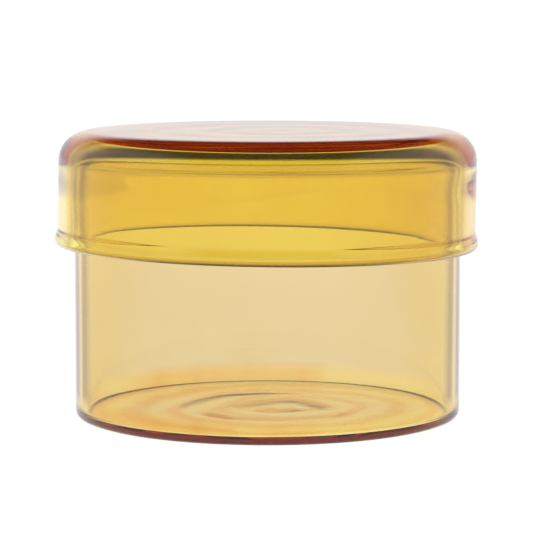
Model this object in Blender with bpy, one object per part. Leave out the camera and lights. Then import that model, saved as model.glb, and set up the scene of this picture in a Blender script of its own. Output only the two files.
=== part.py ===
"""Apothecary jar: a thin-walled round glass jar with a loose slip-over glass lid.

Two turned solids in one frame, in metres, +Z up. The origin is the middle of the
underside, on the jar's axis. Each solid is one closed profile turned about Z.
"""

from math import cos, pi, radians, sin, sqrt

import bmesh
import bpy

# Jar: a straight-walled cup
JAR_RADIUS = 0.0506         # outside of the wall
JAR_WALL = 0.0030
JAR_HEIGHT = 0.0695         # table to the top of the mouth
JAR_FLOOR = 0.0018          # thickness of the base
HEEL_RADIUS = 0.0019        # outside corner between wall and base
FLOOR_FILLET = 0.0014       # inside corner between wall and base

# Lid: a cap with a flat top, whose skirt slips down outside the jar's mouth
LID_RADIUS = 0.0548         # outside of the skirt
LID_WALL = 0.0028
LID_TOP = 0.0750            # table to the top of the lid
LID_BOTTOM = 0.0448         # table to the underside of the lip
SHOULDER_RADIUS = 0.0078    # outside corner between top and skirt
SEAT_RADIUS = 0.0064        # inside corner, which rests on the jar's mouth
LIP_STAND_OUT = 0.0008      # how far the lip stands out from the skirt
LIP_RADIUS = 0.0015         # half the thickness of the rolled lip
LIP_FLARE = 0.0030          # height over which the skirt's inside opens to the lip

SEAT_GAP = 0.0003           # clearance between the lid's seat and the mouth
TURN_STEPS = 80             # facets round the axis
ARC_STEP = radians(12)      # largest turn between two points of a corner


def arc(centre, radius, start, end):
    """Points on an arc in the (r, z) half plane, from one angle to another in degrees."""
    start, end = radians(start), radians(end)
    steps = max(2, round(abs(end - start) / ARC_STEP))
    angles = [start + (end - start) * step / steps for step in range(steps + 1)]
    return [(centre[0] + radius * cos(angle), centre[1] + radius * sin(angle)) for angle in angles]


def jar_profile():
    """The jar's section: floor, inner wall, rounded mouth, outer wall, heel, underside."""
    inner = JAR_RADIUS - JAR_WALL
    mouth = JAR_WALL / 2
    profile = [(0.0, JAR_FLOOR)]
    profile += arc((inner - FLOOR_FILLET, JAR_FLOOR + FLOOR_FILLET), FLOOR_FILLET, -90, 0)
    profile += arc((inner + mouth, JAR_HEIGHT - mouth), mouth, 180, 0)
    profile += arc((JAR_RADIUS - HEEL_RADIUS, HEEL_RADIUS), HEEL_RADIUS, 0, -90)
    profile += [(0.0, 0.0)]
    return profile


def lid_inner_top():
    """Height of the lid's ceiling, set so that its seat just clears the jar's mouth."""
    mouth = JAR_WALL / 2
    reach = SEAT_RADIUS - mouth - SEAT_GAP
    across = (JAR_RADIUS - mouth) - (LID_RADIUS - LID_WALL - SEAT_RADIUS)
    return JAR_HEIGHT - mouth - sqrt(reach ** 2 - across ** 2) + SEAT_RADIUS


def lid_profile():
    """The lid's section: flat top, shoulder, skirt, rolled lip, inner wall, seat, ceiling."""
    inner = LID_RADIUS - LID_WALL
    ceiling = lid_inner_top()
    lip = (LID_RADIUS + LIP_STAND_OUT - LIP_RADIUS, LID_BOTTOM + LIP_RADIUS)
    profile = [(0.0, LID_TOP)]
    profile += arc(
        (LID_RADIUS - SHOULDER_RADIUS, LID_TOP - SHOULDER_RADIUS), SHOULDER_RADIUS, 90, 0
    )
    profile += arc(lip, LIP_RADIUS, 62, -180)
    profile += [(inner, LID_BOTTOM + LIP_RADIUS + LIP_FLARE)]
    profile += arc((inner - SEAT_RADIUS, ceiling - SEAT_RADIUS), SEAT_RADIUS, 0, 90)
    profile += [(0.0, ceiling)]
    return profile


def glass(name, colour):
    """Clear tinted glass."""
    material = bpy.data.materials.new(name)
    material.use_nodes = True
    shader = material.node_tree.nodes["Principled BSDF"]
    shader.inputs["Base Color"].default_value = colour
    shader.inputs["Roughness"].default_value = 0.02
    shader.inputs["Metallic"].default_value = 0.0
    shader.inputs["Transmission Weight"].default_value = 1.0
    shader.inputs["IOR"].default_value = 1.48
    return material


def turned(name, profile, material, rest_height=0.0):
    """A solid turned about Z from a profile, with its origin on the axis at rest_height."""
    mesh = bpy.data.meshes.new(name)
    outline = bmesh.new()
    points = [outline.verts.new((r, 0.0, z - rest_height)) for r, z in profile]
    for start, end in zip(points, points[1:]):
        outline.edges.new((start, end))
    outline.to_mesh(mesh)
    outline.free()

    piece = bpy.data.objects.new(name, mesh)
    piece.location.z = rest_height
    bpy.context.collection.objects.link(piece)
    mesh.materials.append(material)

    turn = piece.modifiers.new("turn", "SCREW")
    turn.axis = "Z"
    turn.angle = 2 * pi
    turn.steps = TURN_STEPS
    turn.render_steps = TURN_STEPS
    turn.use_merge_vertices = True
    turn.merge_threshold = 0.00001
    turn.use_smooth_shade = True
    return piece


def main():
    for leftover in list(bpy.data.objects):
        bpy.data.objects.remove(leftover)
    turned("jar_body", jar_profile(), glass("jar_glass", (0.90, 0.72, 0.36, 1.0)))
    turned("lid", lid_profile(), glass("lid_glass", (0.88, 0.60, 0.14, 1.0)), LID_BOTTOM)


main()
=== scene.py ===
"""An amber glass jar with a slip-over lid, on a plain pale floor in soft light."""

from math import atan2, cos, pi, radians, sin, sqrt, tan

import bmesh
import bpy
import numpy as np
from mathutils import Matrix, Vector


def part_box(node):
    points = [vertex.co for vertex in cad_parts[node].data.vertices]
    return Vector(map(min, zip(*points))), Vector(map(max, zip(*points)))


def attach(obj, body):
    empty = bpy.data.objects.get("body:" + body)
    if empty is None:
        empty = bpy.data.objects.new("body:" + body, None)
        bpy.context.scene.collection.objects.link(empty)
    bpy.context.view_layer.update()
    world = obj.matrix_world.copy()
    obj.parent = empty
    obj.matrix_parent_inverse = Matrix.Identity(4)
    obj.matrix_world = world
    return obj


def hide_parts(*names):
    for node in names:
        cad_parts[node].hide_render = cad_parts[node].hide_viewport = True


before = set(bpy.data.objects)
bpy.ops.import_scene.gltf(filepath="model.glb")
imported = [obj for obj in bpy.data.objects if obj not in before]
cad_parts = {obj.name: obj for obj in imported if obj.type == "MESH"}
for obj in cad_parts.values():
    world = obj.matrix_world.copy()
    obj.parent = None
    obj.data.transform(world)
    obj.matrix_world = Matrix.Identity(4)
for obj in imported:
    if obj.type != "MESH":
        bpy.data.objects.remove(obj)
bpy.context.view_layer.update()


# Sizes read from the frame
JAR_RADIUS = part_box("jar_body")[1].x
JAR_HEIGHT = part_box("jar_body")[1].z
LIP_RADIUS_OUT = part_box("lid")[1].x
LID_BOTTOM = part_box("lid")[0].z
LID_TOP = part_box("lid")[1].z

# The jar's section, in metres
JAR_WALL = 0.0030
JAR_FLOOR = 0.0018
HEEL_RADIUS = 0.0019
FLOOR_FILLET = 0.0014

# The lid's section
LIP_STAND_OUT = 0.0008
LID_RADIUS = LIP_RADIUS_OUT - LIP_STAND_OUT
LID_WALL = 0.0028
SHOULDER_RADIUS = 0.0078
SEAT_RADIUS = 0.0055        # inside the shoulder, where the lid sits on the jar's mouth
CEILING = 0.0712
LIP_DEPTH = 0.0015
LIP_RISE = 0.0046           # height over which the skirt flares out to the lip

# How the lid is off true: the skirt leans, its inside is off centre and its lip out of level
SHIFT = 0.0002
LEAN = 0.00045
OFFSET = 0.0006
OFFSET_RISE = 0.008         # height over which the inside moves off centre, below its corner
LIP_TILT = radians(0.8)

# Rings left by blowing in the jar's floor and under the lid's top
SWIRL_CENTRE = (0.0055, 0.0)
SWIRL_WAVE = 0.016
SWIRL_BENDS = ((1, 0.9, 1.0), (3, 0.5, 0.0))      # lobes, size and phase
FLOOR_SWIRL = 0.00009
TOP_SWIRL = 0.00001
RIPPLE = 0.000015
RIPPLE_WAVE = 0.0060

# Waves in the jar's wall: size, lobes, turn per metre of height and phase
WALL_WAVES = ((0.00003, 7, 40, 0.0), (0.000018, 11, -60, 2.0))

# Absorption in the glass, per metre, for red, green and blue
JAR_ABSORBS = (12, 34, 105)
LID_ABSORBS = (10, 28, 45)

# Tint on the faces by the layer weight's facing value, from face on to edge on. The face-on tints
# are the glass's own colour; the slant ramps paint shade, and on the lid a reflection, into it
JAR_FACE = (0.935, 0.885, 0.785)
LID_FACE = (1.0, 0.94, 0.22)
# Painted shade: the wall's own tint face on, deeper yellow at a slant, then two dark refraction
# lines with a pale band between them and a near-black rim edge on
JAR_SLANT_PAINTED_SHADE = (
    (0.22, JAR_FACE),
    (0.60, (0.95, 0.86, 0.36)),
    (0.68, (0.30, 0.21, 0.07)),
    (0.73, (0.30, 0.21, 0.07)),
    (0.76, (0.95, 0.90, 0.75)),
    (0.79, (0.77, 0.72, 0.63)),
    (0.83, (0.10, 0.07, 0.07)),
    (0.97, (0.14, 0.11, 0.11)),
)
# Painted shade and painted reflection: the lid's own yellow face on, a dark line at one slant, then
# a pale greyish-pink tint toward edge on in place of the reflection
LID_SLANT_PAINTED_SHADE_AND_REFLECTION = (
    (0.58, LID_FACE),
    (0.64, (0.55, 0.35, 0.08)),
    (0.68, (0.90, 0.70, 0.30)),
    (0.73, (1.0, 0.94, 0.88)),
    (0.90, (0.95, 0.88, 0.90)),
    (0.97, (0.85, 0.76, 0.80)),
)

# Tint of the jar's base, which gives way to the wall's between two heights
BASE_TINTS = (
    (0.10, (0.96, 0.70, 0.30)),
    (0.40, (1.0, 0.84, 0.42)),
    (0.80, (1.0, 0.94, 0.58)),
)
BASE_TOP = 0.0035
WALL_FOOT = 0.0080
RINGS_PER_UNIT = 20 / (2 * pi)    # of the ring texture at scale 1
RING_WAVE = 0.011
RING_DISTORTION = 5.5
RING_DETAIL = 3.0
RING_DETAIL_SCALE = 1.1
RING_PHASE = 2.2

# Unevenness of the surface and of the tint
CORD_SCALE = 90
CORD_STRETCH = (1.0, 1.0, 0.25)
CORD_HEIGHT = 0.000012
CLOUD_SCALE = 28
CLOUD_TINTS = ((0.35, (0.985, 0.965, 0.93)), (0.65, (1.0, 1.0, 1.0)))
SMEAR_SCALE = 55
SMEAR_RANGE = (0.3, 0.7)
NOISE_DETAIL = 2.0
ROUGHNESS_LOW = 0.0
ROUGHNESS_HIGH = 0.015
GLASS_IOR = 1.5
FACING_BLEND = 0.5          # at which the facing value is one less the cosine of the slant
DENSITY_MARGIN = 1.0001     # keeps every channel of the absorption colour above 0

# Studio
FLOOR_RADIUS = 30.0
FLOOR_SIDES = 96
FLOOR_DROP = 0.0002
GLOW_FROM = 0.25            # distances from the object between which the floor grows brighter
GLOW_TO = 0.50
FLOOR_NEAR = 1.0
FLOOR_FAR = 1.07
HORIZON = (0.90, 0.87, 0.90)
SKY = 0.04                  # strength overhead
SKY_LOW = 0.25              # sine of the height at which the sky starts to darken
SKY_HIGH = 0.50
SIDE_FROM = 0.45            # and the same sideways, where it stays light
SIDE_TO = 0.75

EYE = (-0.00025, -14 * JAR_RADIUS, 2.302 * JAR_RADIUS)
PITCH = radians(6.233)
FOCAL = 182.8
SENSOR = 36
BOUNCES = 40

TURN_STEPS = 256
ARC_STEP = radians(4)
ARC_STEPS_LEAST = 4
FLARE_STEPS = 10
LIP_STEP = 10               # degrees between points round the lip
WALL_STEP = 0.0015          # distance between points along a straight stretch


def arc(centre, radius, start, end):
    """Points on an arc in the (r, z) half plane, from one angle to another in degrees."""
    start, end = radians(start), radians(end)
    steps = max(ARC_STEPS_LEAST, round(abs(end - start) / ARC_STEP))
    angles = [start + (end - start) * step / steps for step in range(steps + 1)]
    return [(centre[0] + radius * cos(angle), centre[1] + radius * sin(angle)) for angle in angles]


def filled(corners):
    """The profile with points added along its long straight stretches."""
    points = [corners[0]]
    for (r0, z0), (r1, z1) in zip(corners, corners[1:]):
        steps = max(1, round(sqrt((r1 - r0) ** 2 + (z1 - z0) ** 2) / WALL_STEP))
        for step in range(1, steps + 1):
            points.append((r0 + (r1 - r0) * step / steps, z0 + (z1 - z0) * step / steps))
    return points


def eased(part):
    """A part between 0 and 1 that starts and ends gently."""
    return part * part * (3 - 2 * part)


def blend_down(r0, z0, r1, z1, steps=FLARE_STEPS):
    """Points that pass smoothly from one radius to another on the way from z0 to z1."""
    return [
        (r0 + (r1 - r0) * eased(step / steps), z0 + (z1 - z0) * step / steps)
        for step in range(steps + 1)
    ]


def jar_profile():
    """The jar's section, from the middle of its floor over the mouth to the middle of its base."""
    inner = JAR_RADIUS - JAR_WALL
    mouth = JAR_WALL / 2
    profile = [(0.0, JAR_FLOOR)]
    profile += arc((inner - FLOOR_FILLET, JAR_FLOOR + FLOOR_FILLET), FLOOR_FILLET, -90, 0)
    profile += arc((inner + mouth, JAR_HEIGHT - mouth), mouth, 180, 0)
    profile += arc((JAR_RADIUS - HEEL_RADIUS, HEEL_RADIUS), HEEL_RADIUS, 0, -90)
    profile += [(0.0, 0.0)]
    return filled(profile)


def lid_profile():
    """The lid's section, from the middle of its top round the lip to the middle of its ceiling."""
    inner = LID_RADIUS - LID_WALL
    half = LID_WALL / 2
    lip_out = LID_RADIUS + LIP_STAND_OUT
    lip_top = LID_BOTTOM + LIP_DEPTH
    outside = [(0.0, LID_TOP)]
    outside += arc(
        (LID_RADIUS - SHOULDER_RADIUS, LID_TOP - SHOULDER_RADIUS), SHOULDER_RADIUS, 90, 0
    )
    edge = blend_down(LID_RADIUS, LID_BOTTOM + LIP_RISE, lip_out, lip_top)
    edge += [
        (lip_out - half + half * cos(radians(turn)), lip_top + LIP_DEPTH * sin(radians(turn)))
        for turn in range(-LIP_STEP, -180, -LIP_STEP)
    ]
    inside = blend_down(lip_out - LID_WALL, lip_top, inner, LID_BOTTOM + LIP_RISE)
    inside += arc((inner - SEAT_RADIUS, CEILING - SEAT_RADIUS), SEAT_RADIUS, 0, 90)
    inside += [(0.0, CEILING)]
    return filled(outside + edge + inside)


def swirl(x, y, reach):
    """Height of the uneven rings left in a flat face by blowing, up to 1, that die out at reach."""
    x -= SWIRL_CENTRE[0]
    y -= SWIRL_CENTRE[1]
    away = sqrt(x * x + y * y)
    turn = atan2(y, x)
    phase = 2 * pi * away / SWIRL_WAVE
    phase += sum(size * sin(lobes * turn + start) for lobes, size, start in SWIRL_BENDS)
    return cos(phase) * max(0.0, 1 - (away / reach) ** 4)


def leaned(point, angle, depth, inwards):
    """Where a point of the lid's section goes: the skirt leans and its lip is out of level."""
    r, z = point
    if z == CEILING:
        z += TOP_SWIRL * swirl(r * cos(angle), r * sin(angle), LID_RADIUS - SHOULDER_RADIUS)
    below_corner = min(1.0, max(0.0, (CEILING - SEAT_RADIUS - z) / OFFSET_RISE))
    x = r * cos(angle) + SHIFT - LEAN * depth - OFFSET * inwards * eased(below_corner)
    y = r * sin(angle)
    return x, y, z - tan(LIP_TILT) * x * depth


def upright(point, angle, depth, inwards):
    """Where a point of the jar's section goes: the wall is a little wavy, the floor swirled."""
    r, z = point
    flat = JAR_RADIUS - JAR_WALL - FLOOR_FILLET
    if z == JAR_FLOOR and r < flat:
        z += FLOOR_SWIRL * swirl(r * cos(angle), r * sin(angle), flat)
        z += RIPPLE * cos(2 * pi * r / RIPPLE_WAVE + sin(2 * angle)) * (1 - r / flat)
    elif z > JAR_FLOOR + FLOOR_FILLET:
        r += sum(size * sin(lobes * angle + rise * z + start)
                 for size, lobes, rise, start in WALL_WAVES)
    return r * cos(angle), r * sin(angle), z


def turned(name, profile, place):
    """A closed mesh turned about Z, with single points where the profile meets the axis."""
    top = max(z for r, z in profile)
    bottom = min(z for r, z in profile)
    widest = max(range(len(profile)), key=lambda row: profile[row][0])
    lowest = min(range(len(profile)), key=lambda row: profile[row][1])
    rings = len(profile) - 2
    angles = np.linspace(0.0, 2 * pi, TURN_STEPS, endpoint=False)

    def put(row, angle):
        depth = (top - profile[row][1]) / (top - bottom)
        inwards = min(1.0, max(0.0, (row - widest) / max(1, lowest - widest) / 2))
        return place(profile[row], angle, depth, inwards)

    verts = [put(0, 0.0)]
    for row in range(1, len(profile) - 1):
        verts += [put(row, angle) for angle in angles]
    verts.append(put(len(profile) - 1, 0.0))
    last = len(verts) - 1
    faces = []
    for step in range(TURN_STEPS):
        after = (step + 1) % TURN_STEPS
        faces.append((0, 1 + step, 1 + after))
        for row in range(rings - 1):
            upper = 1 + row * TURN_STEPS
            lower = upper + TURN_STEPS
            faces.append((upper + step, lower + step, lower + after, upper + after))
        base = 1 + (rings - 1) * TURN_STEPS
        faces.append((last, base + after, base + step))
    mesh = bpy.data.meshes.new(name)
    mesh.from_pydata(verts, [], faces)
    mesh.validate()
    mesh.shade_smooth()
    piece = bpy.data.objects.new(name, mesh)
    bpy.context.scene.collection.objects.link(piece)
    return piece


def ranged(nodes, links, value, lows, highs, kind="SMOOTHSTEP"):
    """A node that takes a value from one range, (from, to), to another."""
    node = nodes.new("ShaderNodeMapRange")
    node.interpolation_type = kind
    node.inputs["From Min"].default_value = lows[0]
    node.inputs["From Max"].default_value = lows[1]
    node.inputs["To Min"].default_value = highs[0]
    node.inputs["To Max"].default_value = highs[1]
    links.new(value, node.inputs["Value"])
    return node.outputs["Result"]


def counted(nodes, links, operation, first, second=None):
    """A math node of one or two values."""
    node = nodes.new("ShaderNodeMath")
    node.operation = operation
    links.new(first, node.inputs[0])
    if second:
        links.new(second, node.inputs[1])
    return node.outputs["Value"]


def mixed(nodes, links, factor, first, second, blend="MIX"):
    """A colour mix, where each colour is a plain colour or another node's output."""
    node = nodes.new("ShaderNodeMix")
    node.data_type = "RGBA"
    node.blend_type = blend
    if isinstance(factor, float):
        node.inputs["Factor"].default_value = factor
    else:
        links.new(factor, node.inputs["Factor"])
    for socket, colour in ((node.inputs[6], first), (node.inputs[7], second)):
        if isinstance(colour, tuple):
            socket.default_value = (*colour, 1)
        else:
            links.new(colour, socket)
    return node.outputs[2]


def ramped(nodes, links, value, stops):
    """A colour ramp through (position, colour) stops. Moving a stop can reorder the ramp."""
    node = nodes.new("ShaderNodeValToRGB")
    elements = node.color_ramp.elements
    while len(elements) < len(stops):
        elements.new(0.5)
    for element, (position, colour) in zip(elements, stops):
        element.position = position
    for element, (position, colour) in zip(elements, stops):
        element.color = (*colour, 1)
    links.new(value, node.inputs["Fac"])
    return node.outputs["Color"]


def uneven(nodes, links, place, scale, stretch=(1.0, 1.0, 1.0)):
    """Noise through the solid, from 0 to 1."""
    stretched = nodes.new("ShaderNodeMapping")
    stretched.inputs["Scale"].default_value = stretch
    links.new(place, stretched.inputs["Vector"])
    noise = nodes.new("ShaderNodeTexNoise")
    noise.inputs["Scale"].default_value = scale
    noise.inputs["Detail"].default_value = NOISE_DETAIL
    links.new(stretched.outputs["Vector"], noise.inputs["Vector"])
    return noise.outputs["Fac"]


def swirl_colour(nodes, links, place):
    """Uneven rings of yellow and orange tint in the glass of the jar's floor."""
    shift = nodes.new("ShaderNodeMapping")
    shift.inputs["Location"].default_value = (-SWIRL_CENTRE[0], -SWIRL_CENTRE[1], 0)
    shift.inputs["Scale"].default_value = (1, 1, 0)
    links.new(place, shift.inputs["Vector"])
    wave = nodes.new("ShaderNodeTexWave")
    wave.wave_type = "RINGS"
    wave.rings_direction = "Z"
    wave.inputs["Scale"].default_value = 1 / RINGS_PER_UNIT / RING_WAVE
    wave.inputs["Distortion"].default_value = RING_DISTORTION
    wave.inputs["Detail"].default_value = RING_DETAIL
    wave.inputs["Detail Scale"].default_value = RING_DETAIL_SCALE
    wave.inputs["Phase Offset"].default_value = RING_PHASE
    links.new(shift.outputs["Vector"], wave.inputs["Vector"])
    return ramped(nodes, links, wave.outputs["Fac"], BASE_TINTS)


def jar_tint_and_painted_edges(nodes, links, place, facing):
    """The jar's tint: swirled in the base, with painted shade on the outside of the wall: dark edge
    lines and rim drawn by the slant of the view.
    """
    split = nodes.new("ShaderNodeSeparateXYZ")
    links.new(place, split.inputs["Vector"])
    height = split.outputs["Z"]
    # Painted shade: dark edge lines and a dark rim from the slant of the view
    edge = ramped(nodes, links, facing, JAR_SLANT_PAINTED_SHADE)
    flat = nodes.new("ShaderNodeCombineXYZ")
    links.new(split.outputs["X"], flat.inputs["X"])
    links.new(split.outputs["Y"], flat.inputs["Y"])
    reach = nodes.new("ShaderNodeVectorMath")
    reach.operation = "LENGTH"
    links.new(flat.outputs["Vector"], reach.inputs[0])
    wall = (JAR_RADIUS - JAR_WALL, JAR_RADIUS)
    # Mask that puts the painted edge lines on the outer face of the wall only
    outside = ranged(nodes, links, reach.outputs["Value"], wall, (0, 1))
    sides = mixed(nodes, links, outside, JAR_FACE, edge)
    above_base = ranged(nodes, links, height, (BASE_TOP, WALL_FOOT), (0, 1))
    return mixed(nodes, links, above_base, swirl_colour(nodes, links, place), sides)


def lid_tint_and_painted_shade(nodes, links, place, facing):
    """The lid's tint, which depends on the slant of the view only: its own yellow face on, with a
    painted dark line and a painted reflection toward edge on.
    """
    return ramped(nodes, links, facing, LID_SLANT_PAINTED_SHADE_AND_REFLECTION)


def glass(name, absorbs, tinted):
    """Clear glass, tinted on its faces and through its depth, with slightly uneven surfaces. The
    face tint carries shade and reflection painted by the slant of the view.
    """
    material = bpy.data.materials.new(name)
    material.use_nodes = True
    nodes = material.node_tree.nodes
    links = material.node_tree.links
    shader = nodes["Principled BSDF"]
    shader.inputs["Transmission Weight"].default_value = 1.0
    shader.inputs["IOR"].default_value = GLASS_IOR
    place = nodes.new("ShaderNodeTexCoord").outputs["Object"]
    # The facing value drives the painted shade and painted reflection in the tint
    view = nodes.new("ShaderNodeLayerWeight")
    view.inputs["Blend"].default_value = FACING_BLEND
    tint_with_painted_shade = tinted(nodes, links, place, view.outputs["Facing"])
    clouds = ramped(nodes, links, uneven(nodes, links, place, CLOUD_SCALE), CLOUD_TINTS)
    colour = mixed(nodes, links, 1.0, tint_with_painted_shade, clouds, "MULTIPLY")
    links.new(colour, shader.inputs["Base Color"])
    smears = uneven(nodes, links, place, SMEAR_SCALE)
    rough = ranged(nodes, links, smears, SMEAR_RANGE, (ROUGHNESS_LOW, ROUGHNESS_HIGH))
    links.new(rough, shader.inputs["Roughness"])
    bump = nodes.new("ShaderNodeBump")
    bump.inputs["Distance"].default_value = CORD_HEIGHT
    cords = uneven(nodes, links, place, CORD_SCALE, CORD_STRETCH)
    links.new(cords, bump.inputs["Height"])
    links.new(bump.outputs["Normal"], shader.inputs["Normal"])
    volume = nodes.new("ShaderNodeVolumeAbsorption")
    density = max(absorbs) * DENSITY_MARGIN
    through = [1 - rate / density for rate in absorbs]
    volume.inputs["Color"].default_value = (*through, 1.0)
    volume.inputs["Density"].default_value = density
    links.new(volume.outputs["Volume"], nodes["Material Output"].inputs["Volume"])
    return material


def piece(name, node, body, profile, place, absorbs, tinted):
    """One glass piece on its body, standing in for a CAD node."""
    shape = turned(name, profile, place)
    shape.data.materials.append(glass(name, absorbs, tinted))
    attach(shape, body)
    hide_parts(node)


def pale_floor():
    """A floor that is its own soft light, a little brighter away from the object."""
    mesh = bpy.data.meshes.new("floor")
    shape = bmesh.new()
    bmesh.ops.create_circle(shape, cap_ends=True, segments=FLOOR_SIDES, radius=FLOOR_RADIUS)
    shape.to_mesh(mesh)
    shape.free()
    floor = bpy.data.objects.new("floor", mesh)
    bpy.context.scene.collection.objects.link(floor)
    floor.location.z = -FLOOR_DROP
    paint = bpy.data.materials.new("floor")
    paint.use_nodes = True
    nodes = paint.node_tree.nodes
    links = paint.node_tree.links
    nodes.clear()
    place = nodes.new("ShaderNodeTexCoord")
    reach = nodes.new("ShaderNodeVectorMath")
    reach.operation = "LENGTH"
    links.new(place.outputs["Object"], reach.inputs[0])
    away = (GLOW_FROM, GLOW_TO)
    glow = ranged(nodes, links, reach.outputs["Value"], away, (FLOOR_NEAR, FLOOR_FAR), "LINEAR")
    light = nodes.new("ShaderNodeEmission")
    light.inputs["Color"].default_value = (1, 1, 1, 1)
    links.new(glow, light.inputs["Strength"])
    output = nodes.new("ShaderNodeOutputMaterial")
    links.new(light.outputs["Emission"], output.inputs["Surface"])
    mesh.materials.append(paint)


def studio():
    """Soft light all round, bright along the horizon and at both sides and dark overhead."""
    world = bpy.data.worlds.new("studio")
    world.use_nodes = True
    nodes = world.node_tree.nodes
    links = world.node_tree.links
    sky = nodes["Background"]
    sky.inputs["Color"].default_value = (*HORIZON, 1)
    direction = nodes.new("ShaderNodeTexCoord")
    split = nodes.new("ShaderNodeSeparateXYZ")
    links.new(direction.outputs["Generated"], split.inputs["Vector"])
    up = ranged(nodes, links, split.outputs["Z"], (SKY_LOW, SKY_HIGH), (1, SKY))
    across = counted(nodes, links, "ABSOLUTE", split.outputs["X"])
    sides = ranged(nodes, links, across, (SIDE_FROM, SIDE_TO), (0, 1))
    links.new(counted(nodes, links, "MAXIMUM", up, sides), sky.inputs["Strength"])
    bpy.context.scene.world = world


def viewpoint():
    """The camera, level with the lid and a little above it, with a long lens."""
    camera = bpy.data.cameras.new("camera")
    camera.lens = FOCAL
    camera.sensor_width = SENSOR
    camera.sensor_fit = "HORIZONTAL"
    holder = bpy.data.objects.new("camera", camera)
    holder.location = EYE
    holder.rotation_euler = (pi / 2 - PITCH, 0, 0)
    bpy.context.scene.collection.objects.link(holder)
    bpy.context.scene.camera = holder


piece("jar_glass", "jar_body", "jar", jar_profile(), upright, JAR_ABSORBS, jar_tint_and_painted_edges)
piece("lid_glass", "lid", "lid", lid_profile(), leaned, LID_ABSORBS, lid_tint_and_painted_shade)
pale_floor()
studio()
viewpoint()

scene = bpy.context.scene
scene.view_settings.view_transform = "Standard"
scene.cycles.max_bounces = BOUNCES
scene.cycles.transmission_bounces = BOUNCES
scene.cycles.glossy_bounces = BOUNCES
